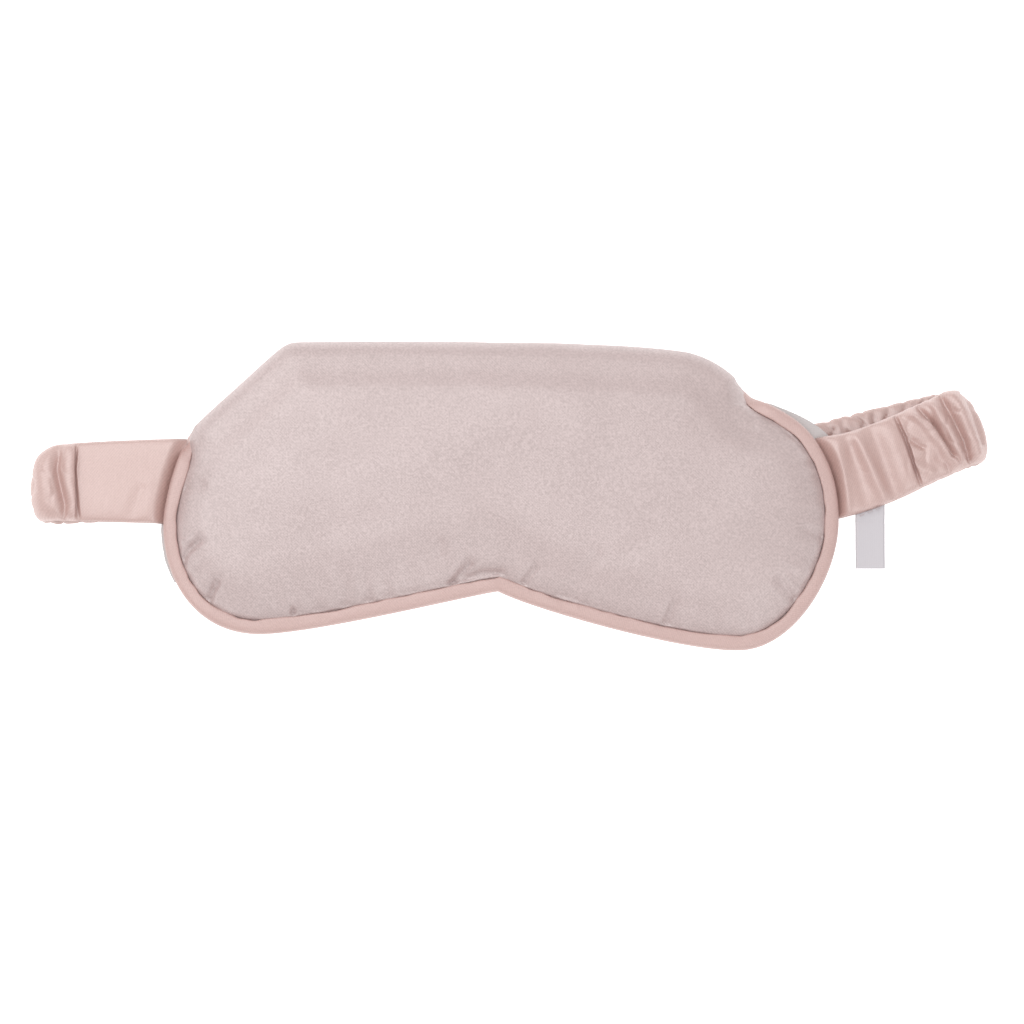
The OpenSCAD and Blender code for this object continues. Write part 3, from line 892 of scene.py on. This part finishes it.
def gather_strength():
    """How ruched each row of the path is, from 0, flat, to 1."""
    x, z, out = PATH[:, 0], PATH[:, 2], PATH[:, 9]
    upper = z > TURN_Z
    strength = np.where(upper & (x < 0), 0.03 + 0.25 * ramp(-x, 129, 135), 1.0)
    strength = np.where(upper & (x > 0), 0.05 + 0.3 * ramp(x, 113, 124), strength)
    return np.where(out > 0, 0.2 + 0.2 * np.clip(TURN_Z - z, 0, 3), strength)


def turn_bulge(v):
    """How far the fold at each end bows out across the strap's width, left and right."""
    left = 0.4 - 2.5 * (v + 0.3) ** 2
    right = 1.2 - 2.0 * (v + 0.1) ** 2
    return np.where(PATH[:, :1] < 0, left, right)


def strap_middle(v, half):
    """Points of the strap's middle surface, bowed out at its two folds."""
    x, out = PATH[:, 0:1], PATH[:, 9:10]
    near = np.minimum(np.abs(x - LEFT_TURN[0]), np.abs(x - RIGHT_TURN[0]))
    bow = turn_bulge(v) * np.where(out > 0, 1, np.exp(-near / 3.0))
    heading = np.where(x < 0, math.pi, RIGHT_TILT)
    return np.stack([
        x + PATH[:, 3:4] * v * half + np.cos(heading) * bow,
        PATH[:, 1:2] + PATH[:, 4:5] * v * half + np.sin(heading) * bow,
        PATH[:, 2:3] + 0 * v * half], axis=2)


def strap_faces_mm():
    """Heights of the casing's two faces over its middle surface, and the points under them."""
    v = np.linspace(-1, 1, 45)[None, :]
    s = PATH_S[:, None]
    out, up, x = PATH[:, 9:10], PATH[:, 7:8], PATH[:, 0:1]
    strength = gather_strength()[:, None]
    half = PATH[:, 8:9] + 0.4 * strength * gathers(s, np.sign(v) * np.full_like(s, 0.9), 71)
    flat = strap_middle(v, half)
    upper = ramp(PATH[:, 2:3], TURN_Z - 2.5, TURN_Z + 2.0)
    tuck = tucked(flat[:, :, 0], flat[:, :, 1], PATH[:, 2:3])
    flat[:, :, 2] -= 2.15 * tuck
    swell = np.sqrt(np.clip(1 - np.abs(v) ** 5, 0, 1))
    least = (0.68 * (1 - tuck) + 0.3 * tuck) * swell
    lower_run = (out == 0) & (up < 0)

    ruche = 1.1 * strength * gathers(s, 2.2 * v, 81)
    folds = bumps(FOLDS, flat[:, :, 0], flat[:, :, 1]) * upper * (1 - tuck)
    fuller = 0.5 * ramp(x, 98, 104) + 0.8 * ramp(x, 112, 120) + 1.3 * ramp(-x, 127.8, 130.2)
    puffed = 1.3 + upper * fuller
    outer = (puffed * (1 - tuck) + 0.45 * tuck + ruche + folds * (0.4 + 0.6 * swell)) * swell
    most = np.where(lower_run, STRAP_MID - FLOOR_GAP, 4.2)
    outer = np.clip(outer, least, most)
    leaning = bumps(LEANS, flat[:, :, 0], flat[:, :, 1])
    flat[:, :, 0] += leaning * np.clip(outer - 1.2, 0, None) * upper * (1 - tuck)
    inner = (1.25 * (1 - tuck) + 0.4 * tuck + 1.1 * strength * gathers(s, 2.2 * v, 91)) * swell
    inner = np.clip(inner, least, np.where(lower_run, LOWER_RISE, STRAP_MID))
    return flat, outer, inner, strength


def tucked(x, y, z):
    """1 where the strap is pressed flat under the binding, 0 clear of it."""
    return (1 - ramp(outside_mask(x, y), -0.6, 3.4)) * (z > TURN_Z + 2)


def surface_normals(points):
    """Outward normals of a surface of rows and rings that close on themselves."""
    along = np.gradient(points, axis=0)
    around = np.roll(points, -1, axis=1) - np.roll(points, 1, axis=1)
    normal = np.cross(around, along)
    return normal / np.maximum(np.linalg.norm(normal, axis=2), 1e-9)[:, :, None]


def strap_surfaces():
    """Outside and inside surface of the whole casing, their normals and its strip coordinates."""
    flat, outer, inner, strength = strap_faces_mm()
    normal = PATH[:, None, 5:8]
    across = flat.shape[1]

    def ring(shrink):
        top = flat + normal * np.maximum(outer - shrink, 0.02)[:, :, None]
        under = flat - normal * np.maximum(inner - shrink, 0.02)[:, :, None]
        whole = np.concatenate([top, under[:, -2:0:-1]], axis=1)
        middle = flat[:, across // 2][:, None]
        if shrink:
            whole = middle + (whole - middle) * (1 - shrink / STRAP_HALF_W)
        return whole

    outside, inside = ring(0), ring(CASING_WALL)
    v = np.linspace(-1, 1, across)
    around = np.concatenate([v, 2 - v[-2:0:-1]]) * STRAP_HALF_W
    gathered = np.cumsum(np.gradient(PATH_S) * (1 + 0.4 * strength[:, 0]))
    return outside, inside, surface_normals(outside), strip_grid(gathered, around)


def strap_casing(name, surfaces, first, last):
    """The casing between two rows: outside wall, inside wall and the rims that join them."""
    outside, inside, normals, uv = (part[first:last + 1] for part in surfaces)
    rows_n, ring_n = outside.shape[:2]
    half = rows_n * ring_n
    end = half - ring_n
    faces = []
    for a, b, c, d in tube_faces(rows_n, ring_n):
        faces.append((a, b, c, d))
        faces.append((half + a, half + d, half + c, half + b))
    for j in range(ring_n):
        k = (j + 1) % ring_n
        faces.append((k, j, half + j, half + k))
        faces.append((end + j, end + k, half + end + k, half + end + j))
    vectors = np.concatenate([normals, -normals]).reshape(-1, 3)
    return make_mesh(name, np.concatenate([outside, inside]), faces, MATERIALS["strap"],
                     np.concatenate([uv, uv]), vectors)


def elastic_piece(name, first, last):
    """The flat elastic inside the casing."""
    row = PATH[first:last + 1:2]
    s = PATH_S[first:last + 1:2]
    middle = strap_middle(np.array([[-0.76, 0.76]]), PATH[:, 8:9])[first:last + 1:2]
    lift = row[:, 5:8] * ELASTIC_HALF_T
    section = [middle[:, 0] - lift, middle[:, 1] - lift, middle[:, 1] + lift, middle[:, 0] + lift]
    ring = np.stack(section, axis=1)
    n = len(section)
    last_ring = tuple((len(row) - 1) * n + j for j in range(n))
    faces = [tuple(range(n))[::-1], *tube_faces(len(row), n), last_ring]
    around = np.array([0, 20, 21.4, 41.4])
    obj = make_mesh(name, ring, faces, MATERIALS["elastic"], strip_grid(s, around))
    obj.data.polygons.foreach_set("use_smooth", np.zeros(len(faces), bool))
    return obj


def row_at(x, upper):
    """Number of the path's row nearest to x on the upper or lower run."""
    same = (PATH[:, 2] > TURN_Z) == upper
    gap = np.where(same & (PATH[:, 9] == 0), np.abs(PATH[:, 0] - x), 1e9)
    return int(gap.argmin())


def row_from_end(x):
    """Number of the path's row at x, counted back from the right seam."""
    return len(PATH) - 1 - int((x - RIGHT_END_X) / FINE)


def point_m(x, y, z):
    return (x * MM, y * MM, z * MM)


def bend_at(joint, before, after):
    """Start and end of a bend that runs along x past a joint."""
    return point_m(joint[0] + before, 0, 0), point_m(joint[0] + after, 0, 0)


def strap_lengths():
    """For each length: name, rows of casing and elastic, two bodies, the bend between them, CAD nodes."""
    left_cut, left_low = row_at(LEFT_CUT_X, True), row_at(LEFT_LOW_X, False)
    centre, right_low = row_at(CENTRE_X, False), row_at(RIGHT_LOW_X, False)
    turn = (point_m(0, 0, STRAP_MID + LOWER_RISE), point_m(0, 0, UPPER_Z))
    return [
        ("left_side", (0, left_cut), (row_at(LEFT_BAND_X, True), left_cut), ("left_side", "mask"),
         bend_at(LEFT_SEAM, -6, 1.5), ["left_side"]),
        ("left_turn", (left_cut, left_low), (left_cut, left_low), ("left_back", "left_side"), turn,
         ["left_turn", "left_back"]),
        ("centre_back", (left_low, centre), (left_low, centre), ("centre_back", "left_back"),
         bend_at(LEFT_BEND, 13, -13), ["centre_back"]),
        ("right_back", (centre, right_low), (centre, right_low), ("centre_back", "right_back"),
         bend_at(RIGHT_BEND, -12, 12), ["right_back"]),
        ("right_turn", (right_low, row_from_end(RIGHT_CUT_X)), (right_low, row_from_end(RIGHT_BAND_X)),
         ("right_back", "right_side"), turn, ["right_turn", "right_side"]),
    ]


def build_length(surfaces, name, cloth, band, bodies, bend, nodes):
    """One length of casing and its elastic, baked in place, with the CAD's own casing and elastic nodes
    hidden.
    """
    casing = strap_casing("strap_casing_" + name, surfaces, *cloth)
    core = elastic_piece("strap_elastic_" + name, *band)
    gather = 1.0 if name == "left_side" else 1.4
    for piece, (first, final), kind, slot, wide, cut in (
        (casing, cloth, "casing_", "strap_satin", 0.050, gather),
        (core, band, "elastic_", "elastic_band", 0.020, 1.0),
    ):
        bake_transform(piece)
        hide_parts(*[kind + node for node in nodes])


def build_strap():
    """The strap in lengths, cut in creases or behind the mask."""
    surfaces = strap_surfaces()
    for length in strap_lengths():
        build_length(surfaces, *length)
    tab = strap_casing("strap_casing_right_tab", surfaces, row_from_end(RIGHT_CUT_X), len(PATH) - 1)
    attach(tab, "mask")


# ---- label


def build_label():
    """White ribbon folded double, creased where it leaves the strap."""
    low, high = box_mm("care_label")
    top, end = high[1] + 2.5, low[1]
    level = (low[2] + high[2]) / 2
    spread = 0.3
    down = np.linspace(0, 1, 40)
    y_line = top + (end - top) * down
    crease = 0.35 * np.exp(-(((y_line - (top - 8.5)) / 0.7) ** 2))
    sag = -1.4 * smooth(down * 1.1) - 0.6
    middle = level + sag - crease
    turn = np.radians(np.linspace(80, -80, 7))
    path = np.vstack([
        np.column_stack([y_line, middle + spread]),
        np.column_stack([end - 0.36 * np.cos(turn), level + sag[-1] + spread * np.sin(turn)]),
        np.column_stack([y_line, middle - spread])[::-1]])
    across_n = 13
    xs = np.linspace(low[0], high[0], across_n)
    cup = 0.16 * ((xs - xs.mean()) / ((high[0] - low[0]) / 2)) ** 2
    points = np.stack(np.broadcast_arrays(xs, path[:, :1], path[:, 1:] + cup), axis=2)
    uv = strip_grid(running_length(path), xs - low[0])[:, :, ::-1]
    faces = []
    for i in range(len(path) - 1):
        for j in range(across_n - 1):
            a = i * across_n + j
            faces.append((a, a + 1, a + across_n + 1, a + across_n))
    obj = make_mesh("care_label_ribbon", points, faces, MATERIALS["label"], uv)
    thick = obj.modifiers.new("thickness", "SOLIDIFY")
    thick.thickness = 0.18 * MM
    thick.offset = 0
    apply_modifiers(obj)
    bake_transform(obj)
    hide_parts("care_label")


# ---- pieces onto their bodies


def build_mask():
    front = build_front()
    rear = build_rear()
    binding = build_binding()
    thread = build_seam_thread()
    wadding = build_layer("front_wadding_fill", "wadding", 9.55, 9.75, 9.6, FRONT_TOP - 3.6)
    liner = build_layer("blackout_liner_sheet", "blackout", 9.4, 9.65, 9.2, 9.5)
    foam = build_layer("rear_foam_pad", "foam", 9.1, 9.3, REAR_BOTTOM + 1.7, 9.0)
    for piece, node, slot in (
        (front, "front_panel", "satin"), (rear, "rear_panel", "lining"),
        (binding, "binding", "satin_binding"), (thread, "binding_stitching", "thread"),
        (wadding, "front_wadding", "wadding"), (liner, "blackout_liner", "blackout_cloth"),
        (foam, "rear_foam", "foam"),
    ):
        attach(piece, "mask")
        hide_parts(node)


def finish_nodes():
    """The CAD's own thread bars keep their shape and get a thread material: the strap's bars the dark
    red-brown one whose colour is painted ditch shade, the label's the pale label thread.
    """
    for node, material in (("left_strap_stitching", "thread"), ("right_strap_stitching", "thread"),
                           ("label_stitching", "label_thread")):
        obj = frame["nodes"][node]
        obj.data.materials.clear()
        obj.data.materials.append(MATERIALS[material])


build_mask()
build_strap()
build_label()
finish_nodes()

# ---- floor, light and camera


def build_floor():
    mesh = bpy.data.meshes.new("floor")
    side, level = 4.0, -0.0004
    mesh.from_pydata([(-side, -side, level), (side, -side, level), (side, side, level),
                      (-side, side, level)], [], [(0, 1, 2, 3)])
    floor = add_object("floor", mesh)
    n = Nodes("floor_white")
    n.shader.inputs["Base Color"].default_value = (0.7, 0.7, 0.7, 1)
    n.shader.inputs["Emission Color"].default_value = (1, 1, 1, 1)
    n.shader.inputs["Emission Strength"].default_value = 0.85
    n.set(rough=0.9, gloss=0.1)
    mesh.materials.append(n.material)


def area_light(name, place, size, power):
    """A square light that faces the origin."""
    data = bpy.data.lights.new(name, "AREA")
    data.size = size
    data.energy = power
    light = add_object(name, data)
    light.location = place
    light.rotation_euler = (-Vector(place)).to_track_quat("-Z", "Y").to_euler()


def build_light():
    world = bpy.data.worlds.new("studio")
    world.use_nodes = True
    sky = world.node_tree.nodes["Background"].inputs
    sky["Color"].default_value = (1, 1, 1, 1)
    sky["Strength"].default_value = 0.80
    bpy.context.scene.world = world
    area_light("key", (-0.34, 0.26, 0.74), 1.0, 4.2)
    area_light("fill", (0.45, -0.62, 0.85), 0.7, 2.2)


def build_camera():
    data = bpy.data.cameras.new("camera")
    data.lens = 85
    data.sensor_width = 36
    camera = add_object("camera", data)
    shown_width = 304.3 * MM
    distance = shown_width * data.lens / data.sensor_width
    elevation = math.radians(84)
    target = Vector(point_m(0.6, -4.5, 9.7))
    back = Vector((0, -math.cos(elevation), math.sin(elevation)))
    camera.location = target + back * distance
    camera.rotation_euler = (-back).to_track_quat("-Z", "Y").to_euler()
    data.clip_start = 0.01
    data.clip_end = 20
    bpy.context.scene.camera = camera


build_floor()
build_light()
build_camera()
bpy.context.scene.view_settings.view_transform = "Standard"
